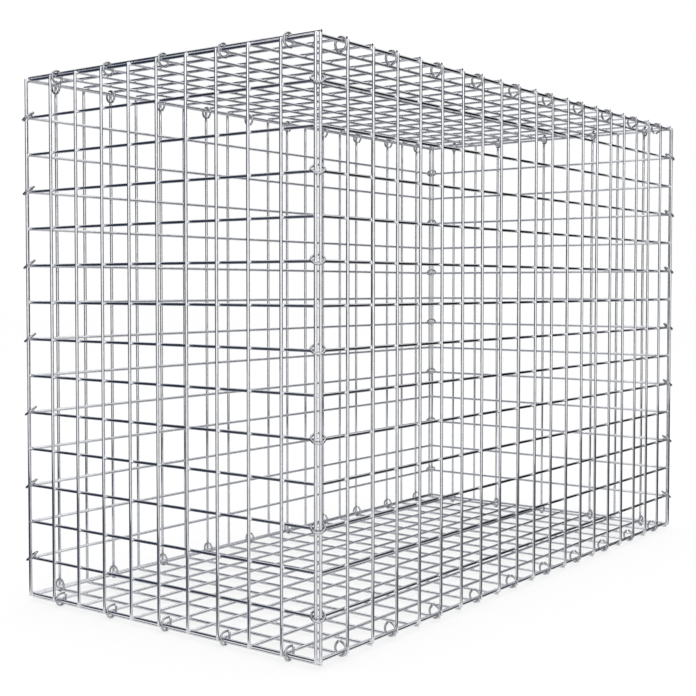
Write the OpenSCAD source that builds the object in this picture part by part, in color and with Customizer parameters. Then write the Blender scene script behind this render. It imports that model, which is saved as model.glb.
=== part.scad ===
// Empty gabion basket of six welded wire-mesh panels, closed on all twelve edges with C-rings.
// Origin: centre of the basket's footprint, on the ground under the lowest rings. +X runs along it.

/* [Mesh] */
// Distance between neighbouring wires, centre to centre
mesh = 50; // [40:1:80]
// Diameter of the mesh wires
wire_d = 4; // [3:0.1:5]
// Depth by which a weld presses two crossing wires into one another
weld_sink = 0.6; // [0.3:0.1:0.9]

/* [Basket] */
// Mesh cells along the basket
cells_x = 20; // [4:2:24]
// Mesh cells across the basket
cells_y = 10; // [4:2:20]
// Mesh cells up the basket
cells_z = 14; // [4:2:20]
// Air between panels that lie against one another
lay_gap = 0.2; // [0.1:0.05:0.4]

/* [Rings] */
// Diameter of the ring wire
ring_wire_d = 3; // [2:0.1:3.5]
// Air between a ring and the wires that it holds
ring_seat = 0.15; // [0.1:0.05:0.3]
// Air between the two cut ends of a closed ring
ring_mouth = 0.8; // [0.4:0.1:2]
// Half of the arc that the straight legs of a ring take up, in degrees
ring_leg_angle = 42; // [35:1:50]
// Tilt of the rings on the upright edges, in degrees
ring_tilt = 38; // [30:1:42]
// Distance by which such a ring's middle lies inside the two uprights that it holds
ring_play = 2.2; // [1.5:0.1:3]
// Height of those uprights' middle in a tilted ring over the level wires below it
ring_lift = 0.4; // [0.4:0.1:3]
// Distance of a ring from the crossing wire next to it
ring_offset = 5; // [4.5:0.5:12]
// Mesh cells from one ring to the next
ring_step = 2; // [2:2:4]

/* [Hidden] */

wire_color = "silver";
ring_color = "gainsboro";
bar_sides = 8;
round_sides = 48;

// A wire is an octagonal bar, wire_d across its flats and bar_r out to its corners
wire_r = wire_d / 2;
bar_r = wire_r / cos(180 / bar_sides);
// Centre distance of two wires that are welded across one another, and of two that only touch
weld_step = wire_d - weld_sink;
lay_step = wire_d + lay_gap;

// Half of the mesh grid in each direction, from the middle of the basket
half_x = cells_x * mesh / 2;
half_y = cells_y * mesh / 2;
half_z = cells_z * mesh / 2;
// The uprights stand outside the grid, and the level wires lie inside the uprights
wall_x = half_x + wire_d;
wall_y = half_y + wire_d;
level_x = wall_x - weld_step;
level_y = wall_y - weld_step;
// The lid and base drop in between the edge wires of the walls
cover_x = level_x - lay_step;
cover_y = level_y - lay_step;

// The two uprights of a corner stand side by side, and a ring's clear radius takes in both
corner_half = norm([wire_d, wire_d]) / 2;
ring_wire_r = ring_wire_d / 2;
ring_inner_r = norm([corner_half, ring_play]) + bar_r / cos(ring_tilt) + ring_seat;
ring_r = ring_inner_r + ring_wire_r;
ring_outer_r = ring_r + ring_wire_r;

// From the outer to the inner wire of a top edge, as [inwards, up]
long_pair = [lay_step, lay_step - weld_step];
short_pair = [lay_step, lay_step];
// Middle of a ring that hangs on such a pair, from the pair's outer wire
long_hang = hang(long_pair);
short_hang = hang(short_pair);
// The rings under the short edges are what the basket stands on
mid_z = half_z + short_hang[1] + ring_outer_r;

function hang(pair) =
    let (reach = ring_inner_r - bar_r - ring_seat)
    let (drop = sqrt(reach * reach - pair * pair / 4))
    pair / 2 + drop * [pair[1], -pair[0]] / norm(pair);

// The mouth of such a ring faces away from the wires that it holds
function away(pair) = atan2(-pair[0], pair[1]);

function grid(cells) = [for (i = [0 : cells]) (i - cells / 2) * mesh];
function framed(cells, edge) = [-edge, for (i = [1 : cells - 1]) (i - cells / 2) * mesh, edge];
function ring_grid(cells) = [for (i = [1 : ring_step : cells - 1]) (i - cells / 2) * mesh];

module bar(length) {
    rotate(180 / bar_sides)
        cylinder(h = length, r = bar_r, center = true, $fn = bar_sides);
}

module bar_x(reach, y, z) {
    translate([0, y, z]) rotate([0, 90, 0]) bar(2 * reach);
}

module bar_y(reach, x, z) {
    translate([x, 0, z]) rotate([90, 0, 0]) bar(2 * reach);
}

module bar_z(reach, x, y) {
    translate([x, y, 0]) bar(2 * reach);
}

// Inner layer of a mesh panel, pressed at every crossing onto the outer layer, which keeps its section
module welded() {
    color(wire_color) difference() {
        children(0);
        children(1);
    }
}

// Front wall: uprights outside, level wires inside, cut flush with the outermost wires
module long_wall_uprights() {
    color(wire_color)
        for (x = grid(cells_x)) bar_z(half_z + wire_r, x, -wall_y);
}

module long_wall_levels() {
    welded() {
        intersection() {
            for (z = grid(cells_z)) bar_x(level_x + wire_r, -level_y, z);
            mitre(level_x - lay_gap / 2, level_y);
        }
        long_wall_uprights();
    }
}

// Left wall
module end_wall_uprights() {
    color(wire_color)
        for (y = grid(cells_y)) bar_z(half_z + wire_r, -wall_x, y);
}

module end_wall_levels() {
    welded() {
        intersection() {
            for (z = grid(cells_z)) bar_y(level_y + wire_r, -level_x, z);
            mirror([1, -1, 0]) mitre(level_y - lay_gap / 2, level_x);
        }
        end_wall_uprights();
    }
}

// Room for the level wires of the front wall, whose ends are cut to meet the next walls' ends at 45 degrees
module mitre(x, y) {
    linear_extrude(height = 2 * half_z + 2 * wire_d, center = true)
        polygon([
            [-x - wire_d, -y - wire_d], [x + wire_d, -y - wire_d],
            [x - wire_d, wire_d - y], [wire_d - x, wire_d - y]
        ]);
}

// Lid: cross wires on top, which lie on the long walls, and long wires below, inside all four walls
module cover_cross_wires() {
    color(wire_color)
        for (x = framed(cells_x, cover_x)) bar_y(level_y + wire_r, x, half_z + lay_step);
}

module cover_long_wires() {
    welded() {
        for (y = framed(cells_y, cover_y)) bar_x(cover_x + wire_r, y, half_z + lay_step - weld_step);
        cover_cross_wires();
    }
}

// Closed C-ring in the XY plane: round back, and two straight legs whose cut ends meet towards +X
module c_ring() {
    leg_end = ring_mouth / 2 + ring_wire_r * sin(ring_leg_angle);
    leg = (ring_r * sin(ring_leg_angle) - leg_end) / cos(ring_leg_angle);
    rotate(ring_leg_angle)
        rotate_extrude(angle = 360 - 2 * ring_leg_angle, $fn = round_sides)
            translate([ring_r, 0]) circle(r = ring_wire_r, $fn = round_sides);
    for (side = [0, 1])
        mirror([0, side, 0])
            rotate(ring_leg_angle)
                translate([ring_r, 0, 0])
                    rotate([90, 0, 0]) cylinder(h = leg, r = ring_wire_r, $fn = round_sides);
}

// Row along the top of the front wall, each ring beside an upright
module long_edge_rings() {
    color(ring_color)
        for (x = ring_grid(cells_x))
            translate([x - ring_offset, -level_y + long_hang[0], half_z + long_hang[1]])
                rotate([90, 0, 90]) rotate(away(long_pair)) c_ring();
}

// Row along the top of the left wall
module short_edge_rings() {
    color(ring_color)
        for (y = ring_grid(cells_y))
            translate([-level_x + short_hang[0], y - ring_offset, half_z + short_hang[1]])
                rotate([90, 0, 0]) rotate(away(short_pair)) c_ring();
}

// Row up the front left corner, each ring low outside and over the level wires inside
module corner_rings() {
    color(ring_color)
        for (z = ring_grid(cells_z))
            translate([-(half_x + wall_x) / 2, -(half_y + wall_y) / 2, z + ring_lift])
                rotate([0, -ring_tilt, 45]) translate([ring_play, 0, 0]) c_ring();
}

// Lifts what is drawn about the basket's middle onto the ground, turned over where asked
module place(flip = [0, 0, 0]) {
    translate([0, 0, mid_z])
        mirror([flip[0], 0, 0]) mirror([0, flip[1], 0]) mirror([0, 0, flip[2]])
            children();
}

module front_uprights() { place() long_wall_uprights(); }
module front_level_wires() { place() long_wall_levels(); }
module back_uprights() { place([0, 1, 0]) long_wall_uprights(); }
module back_level_wires() { place([0, 1, 0]) long_wall_levels(); }
module left_end_uprights() { place() end_wall_uprights(); }
module left_end_level_wires() { place() end_wall_levels(); }
module right_end_uprights() { place([1, 0, 0]) end_wall_uprights(); }
module right_end_level_wires() { place([1, 0, 0]) end_wall_levels(); }
module base_cross_wires() { place([0, 0, 1]) cover_cross_wires(); }
module base_long_wires() { place([0, 0, 1]) cover_long_wires(); }
module lid_cross_wires() { place() cover_cross_wires(); }
module lid_long_wires() { place() cover_long_wires(); }
module front_left_corner_rings() { place() corner_rings(); }
module front_right_corner_rings() { place([1, 0, 0]) corner_rings(); }
module back_left_corner_rings() { place([0, 1, 0]) corner_rings(); }
module back_right_corner_rings() { place([1, 1, 0]) corner_rings(); }
module front_top_rings() { place() long_edge_rings(); }
module back_top_rings() { place([0, 1, 0]) long_edge_rings(); }
module front_bottom_rings() { place([0, 0, 1]) long_edge_rings(); }
module back_bottom_rings() { place([0, 1, 1]) long_edge_rings(); }
module left_top_rings() { place() short_edge_rings(); }
module right_top_rings() { place([1, 0, 0]) short_edge_rings(); }
module left_bottom_rings() { place([0, 0, 1]) short_edge_rings(); }
module right_bottom_rings() { place([1, 0, 1]) short_edge_rings(); }

front_uprights();
front_level_wires();
back_uprights();
back_level_wires();
left_end_uprights();
left_end_level_wires();
right_end_uprights();
right_end_level_wires();
base_cross_wires();
base_long_wires();
lid_cross_wires();
lid_long_wires();
front_left_corner_rings();
front_right_corner_rings();
back_left_corner_rings();
back_right_corner_rings();
front_top_rings();
back_top_rings();
front_bottom_rings();
back_bottom_rings();
left_top_rings();
right_top_rings();
left_bottom_rings();
right_bottom_rings();
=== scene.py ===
import math
import random

import bmesh
import bpy
from mathutils import Matrix, Vector


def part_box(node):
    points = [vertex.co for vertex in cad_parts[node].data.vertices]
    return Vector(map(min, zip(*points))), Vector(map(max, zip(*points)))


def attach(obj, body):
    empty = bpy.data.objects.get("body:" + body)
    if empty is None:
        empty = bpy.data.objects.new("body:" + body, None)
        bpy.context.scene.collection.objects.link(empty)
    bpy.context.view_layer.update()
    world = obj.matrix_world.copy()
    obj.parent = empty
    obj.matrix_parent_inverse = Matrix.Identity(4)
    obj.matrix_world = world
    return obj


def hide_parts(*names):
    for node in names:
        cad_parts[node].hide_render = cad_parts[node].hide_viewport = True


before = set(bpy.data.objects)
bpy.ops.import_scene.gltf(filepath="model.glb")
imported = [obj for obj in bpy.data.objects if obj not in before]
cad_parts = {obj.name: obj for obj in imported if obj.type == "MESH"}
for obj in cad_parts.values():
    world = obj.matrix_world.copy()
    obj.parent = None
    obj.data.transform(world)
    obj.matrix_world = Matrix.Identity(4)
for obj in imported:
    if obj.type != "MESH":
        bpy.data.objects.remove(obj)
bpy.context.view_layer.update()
scene = bpy.context.scene
dice = random.Random(11)
print("frame:", len(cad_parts), "nodes")


class Sock:
    # One socket of a material's node tree, on which sums are written as plain arithmetic
    def __init__(self, tree, socket=None):
        self.tree = tree
        self.socket = socket

    def make(self, kind, settings, values):
        node = self.tree.nodes.new(kind)
        for key, value in settings.items():
            setattr(node, key, value)
        for key, value in values.items():
            named = [s for s in node.inputs if s.name == key and s.enabled]
            slot = named[0] if named else node.inputs[key]
            if isinstance(value, Sock):
                self.tree.links.new(value.socket, slot)
            else:
                slot.default_value = value
        return Sock(self.tree, next((s for s in node.outputs if s.enabled), None))

    def out(self, name):
        return Sock(self.tree, self.socket.node.outputs[name])

    def math(self, operation, first, second):
        return self.make("ShaderNodeMath", dict(operation=operation), {0: first, 1: second})

    def __add__(self, other):
        return self.math("ADD", self, other)

    def __radd__(self, other):
        return self.math("ADD", other, self)

    def __mul__(self, other):
        return self.math("MULTIPLY", self, other)


def newMaterial(name):
    material = bpy.data.materials.new(name)
    material.use_nodes = True
    material.node_tree.nodes.clear()
    return material, Sock(material.node_tree)


# Zinc-coated wire: mottled grey metal with faint drawing lines along the wire and fine zinc grain
def zincMaterial(name, look):
    material, start = newMaterial(name)
    place = start.make("ShaderNodeTexCoord", {}, {})
    along = start.make(
        "ShaderNodeMapping", {}, {"Vector": place.out("UV"), "Scale": look["lineScale"]})
    lines = start.make(
        "ShaderNodeTexNoise", {},
        {"Vector": along, "Scale": 1.0, "Detail": look["lineDetail"], "Roughness": look["lineBreak"]})
    cloud = start.make(
        "ShaderNodeTexNoise", {},
        {"Vector": place.out("Object"), "Scale": look["cloudScale"],
         "Detail": look["cloudDetail"], "Roughness": look["cloudBreak"]})
    grain = start.make(
        "ShaderNodeTexVoronoi", {}, {"Vector": place.out("Object"), "Scale": look["grainScale"]})
    flake = start.make("ShaderNodeSeparateColor", {}, {"Color": grain.out("Color")})
    tone = cloud * look["cloudShare"] + lines * look["lineShare"] + flake * look["flakeShare"]
    spread = start.make(
        "ShaderNodeMapRange", {},
        {"Value": tone, "From Min": look["toneLow"], "From Max": look["toneHigh"]})
    colour = start.make(
        "ShaderNodeMix", dict(data_type="RGBA"),
        {"Factor": spread, "A": look["dull"], "B": look["bright"]})
    bump = start.make(
        "ShaderNodeBump", {},
        {"Height": lines * look["lineHeight"] + flake * look["flakeHeight"],
         "Strength": look["bump"], "Distance": look["relief"]})
    shader = start.make(
        "ShaderNodeBsdfPrincipled", {},
        {"Base Color": colour,
         "Metallic": 1.0,
         "Roughness": look["roughness"] + spread * look["roughnessSpread"],
         "Normal": bump})
    start.make("ShaderNodeOutputMaterial", {}, {"Surface": shader})
    return material


zinc = dict(
    dull=(0.56, 0.57, 0.59, 1.0),
    bright=(0.81, 0.82, 0.84, 1.0),
    roughness=0.06,
    roughnessSpread=0.06,
    lineScale=(2600.0, 22.0, 1.0),
    lineDetail=3.0,
    lineBreak=0.6,
    lineShare=0.3,
    lineHeight=0.6,
    cloudScale=120.0,
    cloudDetail=4.0,
    cloudBreak=0.55,
    cloudShare=0.5,
    grainScale=900.0,
    flakeShare=0.2,
    flakeHeight=0.4,
    toneLow=0.3,
    toneHigh=0.7,
    bump=0.15,
    relief=0.00006,
)
weldZinc = dict(
    zinc,
    dull=(0.66, 0.66, 0.67, 1.0),
    bright=(0.90, 0.90, 0.91, 1.0),
    roughness=0.16,
    lineScale=(900.0, 900.0, 1.0),
    bump=0.4,
)
ringZinc = dict(
    zinc,
    dull=(0.37, 0.38, 0.40, 1.0),
    bright=(0.57, 0.58, 0.60, 1.0),
    roughness=0.06,
    lineScale=(3200.0, 60.0, 1.0),
)
wireMaterial = zincMaterial("zinc_wire", zinc)
weldMaterial = zincMaterial("zinc_weld", weldZinc)
ringMaterial = zincMaterial("zinc_ring", ringZinc)
print("materials done")


def toMesh(name, bm):
    mesh = bpy.data.meshes.new(name)
    bm.to_mesh(mesh)
    bm.free()
    return mesh


def newPiece(name, bm, material, replaced=()):
    bmesh.ops.recalc_face_normals(bm, faces=bm.faces[:])
    mesh = toMesh(name, bm)
    for face in mesh.polygons:
        face.use_smooth = True
    mesh.materials.append(material)
    piece = bpy.data.objects.new(name, mesh)
    scene.collection.objects.link(piece)
    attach(piece, "root")
    if replaced:
        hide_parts(*replaced)


# Adds a copy of a mesh, its texture shifted so that no two copies look alike
shiftSpan = 5


def randomShift():
    return Vector((dice.uniform(0, shiftSpan), dice.uniform(0, shiftSpan)))


def append(bm, mesh, matrix, shift):
    firstVert = len(bm.verts)
    firstFace = len(bm.faces)
    bm.from_mesh(mesh)
    bm.verts.ensure_lookup_table()
    bm.faces.ensure_lookup_table()
    bmesh.ops.transform(bm, matrix=matrix, verts=bm.verts[firstVert:])
    layer = bm.loops.layers.uv.active
    for face in bm.faces[firstFace:]:
        for loop in face.loops:
            loop[layer].uv += shift


# Straight wire along Z with its cut ends broken, unrolled in metres
wire = dict(radius=0.002, sides=16, rim=0.0004, rimSteps=2)


def wireMesh(length, lean):
    bm = bmesh.new()
    bmesh.ops.create_cone(
        bm, cap_ends=True, cap_tris=False, segments=wire["sides"],
        radius1=wire["radius"], radius2=wire["radius"], depth=length)
    rims = [e for e in bm.edges if abs(e.verts[0].co.z - e.verts[1].co.z) < 1e-6]
    if lean is not None:
        for vert in bm.verts:
            vert.co.z += math.copysign(lean.dot(vert.co) - wire["radius"], vert.co.z)
    bmesh.ops.bevel(
        bm, geom=rims, offset=wire["rim"], offset_type="OFFSET", segments=wire["rimSteps"],
        profile=0.5, affect="EDGES", material=-1)
    layer = bm.loops.layers.uv.new("unrolled")
    for face in bm.faces:
        middle = face.calc_center_median()
        facing = math.atan2(middle.y, middle.x)
        for loop in face.loops:
            at = loop.vert.co
            turn = math.atan2(at.y, at.x) - facing
            turn = (turn + math.pi) % (2 * math.pi) - math.pi
            loop[layer].uv = ((facing + turn) * wire["radius"], at.z)
    return toMesh("wire", bm)


turnTo = {
    "X": Matrix.Rotation(math.pi / 2, 4, "Y"),
    "Y": Matrix.Rotation(-math.pi / 2, 4, "X"),
    "Z": Matrix.Identity(4),
}


def evenly(node, axis, count):
    low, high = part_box(node)
    side = "XYZ".index(axis)
    first = low[side] + wire["radius"]
    last = high[side] - wire["radius"]
    return [first + (last - first) * i / (count - 1) for i in range(count)]


# Wires and rings along the basket's length, width and height
counts = dict(wiresX=21, wiresY=11, wiresZ=15, ringsX=10, ringsY=5)
gridX = evenly("front_uprights", "X", counts["wiresX"])
gridY = evenly("left_end_uprights", "Y", counts["wiresY"])
gridZ = evenly("front_level_wires", "Z", counts["wiresZ"])
lidEnds = evenly("lid_cross_wires", "X", 2)
lidSides = evenly("lid_long_wires", "Y", 2)
coverX = lidEnds[:1] + gridX[1:-1] + lidEnds[1:]
coverY = lidSides[:1] + gridY[1:-1] + lidSides[1:]


# Each panel: the outer layer of wires, the inner layer, the way each runs and where its wires lie.
# The level wires of neighbouring walls meet in a mitre.
panels = {
    "front": dict(outer=("front_uprights", "Z", "X", gridX), inner=("front_level_wires", "X", "Z", gridZ)),
    "back": dict(outer=("back_uprights", "Z", "X", gridX), inner=("back_level_wires", "X", "Z", gridZ)),
    "left_end": dict(
        outer=("left_end_uprights", "Z", "Y", gridY), inner=("left_end_level_wires", "Y", "Z", gridZ)),
    "right_end": dict(
        outer=("right_end_uprights", "Z", "Y", gridY), inner=("right_end_level_wires", "Y", "Z", gridZ)),
    "base": dict(outer=("base_cross_wires", "Y", "X", coverX), inner=("base_long_wires", "X", "Y", coverY)),
    "lid": dict(outer=("lid_cross_wires", "Y", "X", coverX), inner=("lid_long_wires", "X", "Y", coverY)),
}
# Pressed weld at a crossing: a low round bead between the two wires
weld = dict(reach=0.0031, height=0.0014, around=8, rings=5, spread=0.12)


def weldMesh():
    bm = bmesh.new()
    bmesh.ops.create_uvsphere(bm, u_segments=weld["around"], v_segments=weld["rings"], radius=1.0)
    layer = bm.loops.layers.uv.new("unrolled")
    for face in bm.faces:
        for loop in face.loops:
            loop[layer].uv = (loop.vert.co.x * weld["reach"], loop.vert.co.y * weld["reach"])
    return toMesh("weld", bm)


def buildLayer(name, node, run, spread, stops):
    low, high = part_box(node)
    middle = (low + high) / 2
    lean = None
    if node.endswith("level_wires"):
        lean = Vector((middle.x, middle.y, 0)).normalized()
    mesh = wireMesh(high["XYZ".index(run)] - low["XYZ".index(run)], lean)
    bm = bmesh.new()
    bm.loops.layers.uv.new("unrolled")
    for stop in stops:
        centre = middle.copy()
        centre["XYZ".index(spread)] = stop
        append(bm, mesh, Matrix.Translation(centre) @ turnTo[run], randomShift())
    bpy.data.meshes.remove(mesh)
    newPiece(name, bm, wireMaterial, [node])
    return middle


bead = weldMesh()
for name, panel in panels.items():
    outerNode, outerRun, outerSpread, outerStops = panel["outer"]
    innerNode, innerRun, innerSpread, innerStops = panel["inner"]
    outerMiddle = buildLayer(outerNode + "_round", outerNode, outerRun, outerSpread, outerStops)
    innerMiddle = buildLayer(innerNode + "_round", innerNode, innerRun, innerSpread, innerStops)
    centre = (outerMiddle + innerMiddle) / 2
    depth = next(a for a in "XYZ" if a not in (outerSpread, innerSpread))
    bm = bmesh.new()
    bm.loops.layers.uv.new("unrolled")
    for u in outerStops:
        for v in innerStops:
            centre["XYZ".index(outerSpread)] = u
            centre["XYZ".index(innerSpread)] = v
            reach = weld["reach"] * (1 + dice.uniform(-weld["spread"], weld["spread"]))
            size = Matrix.Diagonal((reach, reach, weld["height"], 1.0))
            spun = Matrix.Rotation(dice.uniform(0, math.pi), 4, "Z")
            append(bm, bead, Matrix.Translation(centre) @ turnTo[depth] @ spun @ size, randomShift())
    newPiece(name + "_welds", bm, weldMaterial)
    print("panel", name, "done")
bpy.data.meshes.remove(bead)


# Closed C-ring in the XY plane: round back, straight legs, cut ends meeting towards +X.
# Its mouth faces away from the wires that it holds.
ring = dict(
    wireRadius=0.0015,
    radius=0.00798,
    sides=12,
    steps=30,
    legAngle=math.radians(42),
    mouth=0.0008,
    rim=0.0003,
    rimSteps=2,
    longTurn=math.radians(-79.2),
    shortTurn=math.radians(-45),
    tilt=math.radians(38),
    lift=0.0004,
    play=0.0022,
    cornerEvery=2,
)


def ringMesh():
    angle = ring["legAngle"]
    legEnd = ring["mouth"] / 2 + ring["wireRadius"] * math.sin(angle)
    leg = (ring["radius"] * math.sin(angle) - legEnd) / math.cos(angle)
    bm = bmesh.new()
    start = Matrix.Rotation(angle, 4, "Z") @ Matrix.Translation((ring["radius"], 0, 0))
    start = start @ Matrix.Rotation(math.pi / 2, 4, "X")
    section = bmesh.ops.create_circle(
        bm, cap_ends=False, segments=ring["sides"], radius=ring["wireRadius"], matrix=start)
    firstEdges = bm.edges[:]
    spun = bmesh.ops.spin(
        bm, geom=section["verts"] + firstEdges, cent=(0, 0, 0), axis=(0, 0, 1),
        angle=2 * math.pi - 2 * angle, steps=ring["steps"])
    lastEdges = [g for g in spun["geom_last"] if isinstance(g, bmesh.types.BMEdge)]
    rims = []
    for edges, side in ((firstEdges, -1), (lastEdges, 1)):
        grown = bmesh.ops.extrude_edge_only(bm, edges=edges)["geom"]
        verts = [g for g in grown if isinstance(g, bmesh.types.BMVert)]
        ends = [g for g in grown if isinstance(g, bmesh.types.BMEdge)]
        ends = [e for e in ends if all(v in verts for v in e.verts)]
        step = Vector((math.sin(angle), side * math.cos(angle), 0)) * leg
        bmesh.ops.translate(bm, verts=verts, vec=step)
        bmesh.ops.contextual_create(bm, geom=ends)
        rims += ends
    bmesh.ops.bevel(
        bm, geom=rims, offset=ring["rim"], offset_type="OFFSET", segments=ring["rimSteps"],
        profile=0.5, affect="EDGES", material=-1)
    bmesh.ops.recalc_face_normals(bm, faces=bm.faces[:])
    layer = bm.loops.layers.uv.new("unrolled")
    for face in bm.faces:
        middle = face.calc_center_median()
        heading = math.atan2(middle.y, middle.x)
        for loop in face.loops:
            at = loop.vert.co
            turn = math.atan2(at.y, at.x) - heading
            turn = (turn + math.pi) % (2 * math.pi) - math.pi
            around = math.atan2(at.z, math.hypot(at.x, at.y) - ring["radius"])
            loop[layer].uv = (around * ring["wireRadius"], (heading + turn) * ring["radius"])
    return toMesh("ring", bm)


def facing(centre, mouth, normal):
    across = normal.cross(mouth)
    turned = Matrix((mouth, across, normal)).transposed().to_4x4()
    return Matrix.Translation(centre) @ turned


def edgeRow(node, run, inward, upward):
    low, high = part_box(node)
    count = counts["rings" + run]
    side = "XYZ".index(run)
    across = 1 - side
    first = low[side] + ring["wireRadius"]
    last = high[side] - ring["wireRadius"]
    reach = ring["radius"] + ring["wireRadius"]
    turn = ring["longTurn"] if run == "X" else ring["shortTurn"]
    mouth = Vector((0, 0, upward * math.sin(turn)))
    mouth[across] = inward * math.cos(turn)
    normal = Vector((0, 0, 0))
    normal[side] = 1.0
    centre = Vector((0, 0, high.z - reach if upward > 0 else low.z + reach))
    centre[across] = low[across] + reach if inward > 0 else high[across] - reach
    places = []
    for i in range(count):
        centre[side] = first + (last - first) * i / (count - 1)
        places.append(facing(centre, mouth, normal))
    return places


def cornerRow(inX, inY):
    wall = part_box("front_uprights" if inY > 0 else "back_uprights")
    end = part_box("left_end_uprights" if inX > 0 else "right_end_uprights")
    first = Vector((-inX * gridX[-1], (wall[0].y + wall[1].y) / 2, 0))
    second = Vector(((end[0].x + end[1].x) / 2, -inY * gridY[-1], 0))
    pair = (first + second) / 2
    flat = Vector((inX, inY, 0)).normalized()
    mouth = flat * math.cos(ring["tilt"]) + Vector((0, 0, math.sin(ring["tilt"])))
    normal = mouth.cross(Vector((-flat.y, flat.x, 0)))
    places = []
    for z in gridZ[1::ring["cornerEvery"]]:
        centre = pair + Vector((0, 0, z + ring["lift"])) + mouth * ring["play"]
        places.append(facing(centre, mouth, normal))
    return places


rows = {
    "front_top_rings": edgeRow("front_top_rings", "X", 1, 1),
    "back_top_rings": edgeRow("back_top_rings", "X", -1, 1),
    "front_bottom_rings": edgeRow("front_bottom_rings", "X", 1, -1),
    "back_bottom_rings": edgeRow("back_bottom_rings", "X", -1, -1),
    "left_top_rings": edgeRow("left_top_rings", "Y", 1, 1),
    "right_top_rings": edgeRow("right_top_rings", "Y", -1, 1),
    "left_bottom_rings": edgeRow("left_bottom_rings", "Y", 1, -1),
    "right_bottom_rings": edgeRow("right_bottom_rings", "Y", -1, -1),
    "front_left_corner_rings": cornerRow(1, 1),
    "front_right_corner_rings": cornerRow(-1, 1),
    "back_left_corner_rings": cornerRow(1, -1),
    "back_right_corner_rings": cornerRow(-1, -1),
}
closed = ringMesh()
for node, places in rows.items():
    bm = bmesh.new()
    bm.loops.layers.uv.new("unrolled")
    for matrix in places:
        append(bm, closed, matrix, randomShift())
    newPiece(node + "_round", bm, ringMaterial, [node])
bpy.data.meshes.remove(closed)
print("rings done")


# Camera at the photograph's place, looking slightly down at the near upright edge
camera = dict(
    place=(-1.5508, -1.0838, 0.4294),
    pitch=-0.0368,
    roll=-0.0006,
    yaw=-0.9251,
    lens=62.298,
    sensor=36.0,
    shiftY=-0.02233,
    nearest=0.05,
    farthest=60.0,
)
lensData = bpy.data.cameras.new("camera")
lensData.sensor_fit = "HORIZONTAL"
lensData.sensor_width = camera["sensor"]
lensData.lens = camera["lens"]
lensData.shift_y = camera["shiftY"]
lensData.clip_start = camera["nearest"]
lensData.clip_end = camera["farthest"]
eye = bpy.data.objects.new("camera", lensData)
eye.location = camera["place"]
eye.rotation_euler = (math.pi / 2 + camera["pitch"], camera["roll"], camera["yaw"])
scene.collection.objects.link(eye)
scene.camera = eye


# 1 for what the camera sees, also in metal or through glass, and 0 for light that falls on things
def seenDirectly(start):
    path = start.make("ShaderNodeLightPath", {}, {})
    rays = path.out("Is Camera Ray") + path.out("Is Glossy Ray") + path.out("Is Transmission Ray")
    return start.make("ShaderNodeMath", dict(operation="MINIMUM"), {0: rays, 1: 1.0})


def stagePiece(name, bm, material):
    mesh = toMesh(name, bm)
    mesh.materials.append(material)
    piece = bpy.data.objects.new(name, mesh)
    scene.collection.objects.link(piece)
    return piece


# Pale floor; the camera sees it part way to white, so the shadow stays faint
pureWhite = (1.0, 1.0, 1.0, 1.0)
floor = dict(size=30.0, colour=(0.93, 0.93, 0.93, 1.0), whiter=0.74)
material, start = newMaterial("studio_floor")
matt = start.make("ShaderNodeBsdfDiffuse", {}, {"Color": floor["colour"]})
white = start.make("ShaderNodeEmission", {}, {"Color": pureWhite, "Strength": 1.0})
mixed = start.make("ShaderNodeMixShader", {}, {0: seenDirectly(start) * floor["whiter"], 1: matt, 2: white})
start.make("ShaderNodeOutputMaterial", {}, {"Surface": mixed})
bm = bmesh.new()
bmesh.ops.create_grid(bm, x_segments=1, y_segments=1, size=floor["size"] / 2)
stagePiece("studio_floor", bm, material)


# Studio cards that only reflections see, painted reflections in the metal: a dark curved screen round the
# far side, tall at its wings and low between, sheets on the floor, dark before the two near panels, and a
# bright window on the camera's side, a glowing card that is no lamp.
# A fade goes from its first level to its level along its across side.
cards = {
    "right_wing": dict(radius=4.0, start=-100.0, end=-4.0, low=0.0, high=2.8, level=(0.012, 0.012, 0.014)),
    "left_wing": dict(radius=4.0, start=98.0, end=174.0, low=0.0, high=4.4, level=(0.032, 0.04, 0.066)),
    "low_middle": dict(radius=4.0, start=-4.0, end=98.0, low=0.0, high=1.4, level=(0.025, 0.025, 0.03)),
    "top_middle": dict(radius=4.0, start=-4.0, end=98.0, low=1.4, high=6.0, level=(0.78, 0.80, 0.88)),
    "window": dict(radius=3.6, start=180.0, end=285.0, low=0.0, high=2.2, level=(1.2, 1.2, 1.2)),
    "right_sheet": dict(corner=(0.6, -0.275, 0.0002), across=(2.9, 0, 0), up=(1.6, -3.1, 0),
                        level=(0.012, 0.012, 0.014)),
    "right_fade": dict(corner=(-0.5, -0.275, 0.0002), across=(1.1, 0, 0), up=(1.6, -3.1, 0),
                       first=(0.16, 0.16, 0.17), level=(0.012, 0.012, 0.014)),
    "left_sheet": dict(corner=(-0.525, 0.4, 0.0002), across=(0, 3.0, 0), up=(-3.0, 1.6, 0),
                       level=(0.032, 0.04, 0.066)),
    "left_fade": dict(corner=(-0.525, -0.25, 0.0002), across=(0, 0.65, 0), up=(-3.0, 1.6, 0),
                      first=(0.12, 0.13, 0.16), level=(0.032, 0.04, 0.066)),
    "back_sheet": dict(corner=(0.7, -0.3, 0.0002), across=(3.0, 0, 0), up=(0, 3.7, 0),
                       level=(0.58, 0.59, 0.62)),
    "far_sheet": dict(corner=(-0.55, 0.45, 0.0002), across=(1.25, 0, 0), up=(0, 2.95, 0),
                      level=(0.58, 0.59, 0.62)),
    "under_sheet": dict(corner=(-0.49, -0.24, 0.0002), across=(1.19, 0, 0), up=(0, 0.69, 0),
                        level=(0.70, 0.71, 0.73)),
}
cardSteps = 24
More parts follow.
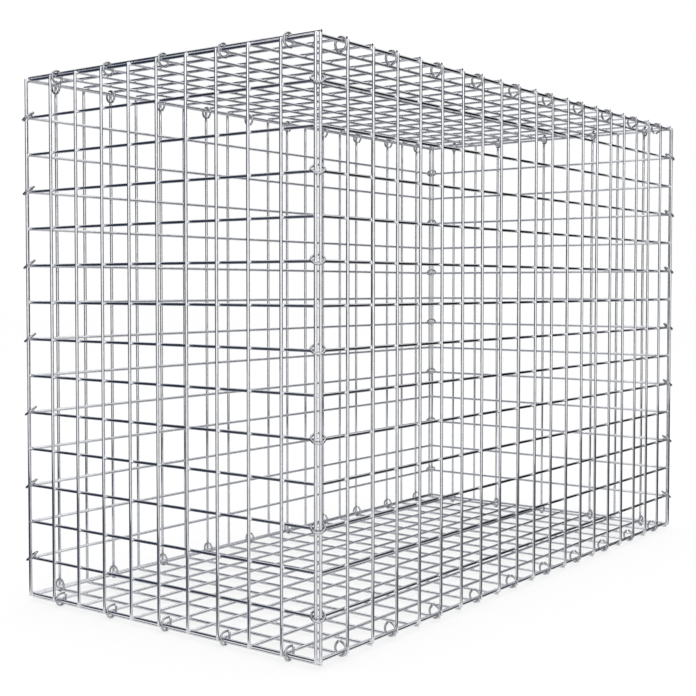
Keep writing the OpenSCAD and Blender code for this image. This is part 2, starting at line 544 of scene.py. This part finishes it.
for name, card in cards.items():
    material, start = newMaterial("studio_" + name)
    level = card["level"] + (1.0,)
    if "first" in card:
        spot = start.make("ShaderNodeTexCoord", {}, {}).out("UV")
        share = start.make("ShaderNodeSeparateXYZ", {}, {"Vector": spot})
        level = start.make(
            "ShaderNodeMix", dict(data_type="RGBA"),
            {"Factor": share, "A": card["first"] + (1.0,), "B": level})
    glow = start.make("ShaderNodeEmission", {}, {"Color": level, "Strength": 1.0})
    start.make("ShaderNodeOutputMaterial", {}, {"Surface": glow})
    bm = bmesh.new()
    if "radius" in card:
        turn = math.radians(card["start"])
        first = Vector((math.cos(turn), math.sin(turn), 0)) * card["radius"]
        edge = bm.edges.new([bm.verts.new(first + Vector((0, 0, card[end]))) for end in ("low", "high")])
        bmesh.ops.spin(
            bm, geom=list(edge.verts) + [edge], cent=(0, 0, 0), axis=(0, 0, 1),
            angle=math.radians(card["end"] - card["start"]), steps=cardSteps)
    else:
        corner = Vector(card["corner"])
        across = Vector(card["across"])
        up = Vector(card["up"])
        layer = bm.loops.layers.uv.new("across")
        spots = ((0, 0), (1, 0), (1, 1), (0, 1))
        face = bm.faces.new([bm.verts.new(corner + across * u + up * v) for u, v in spots])
        for loop, spot in zip(face.loops, spots):
            loop[layer].uv = spot
    sheet = stagePiece("studio_" + name, bm, material)
    # Hidden from all but glossy rays: each card is a painted reflection and lights nothing
    sheet.visible_camera = False
    sheet.visible_diffuse = False
    sheet.visible_transmission = False
    sheet.visible_shadow = False


# White surroundings, and a dome that lights the floor
world = bpy.data.worlds.new("studio")
scene.world = world
world.use_nodes = True
world.node_tree.nodes.clear()
start = Sock(world.node_tree)
dome = dict(seen=1.0, lighting=1.05)
strength = dome["lighting"] + seenDirectly(start) * (dome["seen"] - dome["lighting"])
background = start.make("ShaderNodeBackground", {}, {"Color": pureWhite, "Strength": strength})
start.make("ShaderNodeOutputWorld", {}, {"Surface": background})

lamps = {
    "key_softbox": dict(place=(-2.4, -2.2, 2.6), aim=(0, 0, 0.36), size=1.6, watts=10.0),
    "top_softbox": dict(place=(0.2, 0.1, 3.2), aim=(0, 0, 0.36), size=2.4, watts=15.0),
}
for name, lamp in lamps.items():
    data = bpy.data.lights.new(name, "AREA")
    data.shape = "SQUARE"
    data.size = lamp["size"]
    data.energy = lamp["watts"]
    holder = bpy.data.objects.new(name, data)
    holder.location = lamp["place"]
    toAim = Vector(lamp["aim"]) - Vector(lamp["place"])
    holder.rotation_euler = toAim.to_track_quat("-Z", "Y").to_euler()
    scene.collection.objects.link(holder)

scene.view_settings.view_transform = "Standard"
print("stage done")
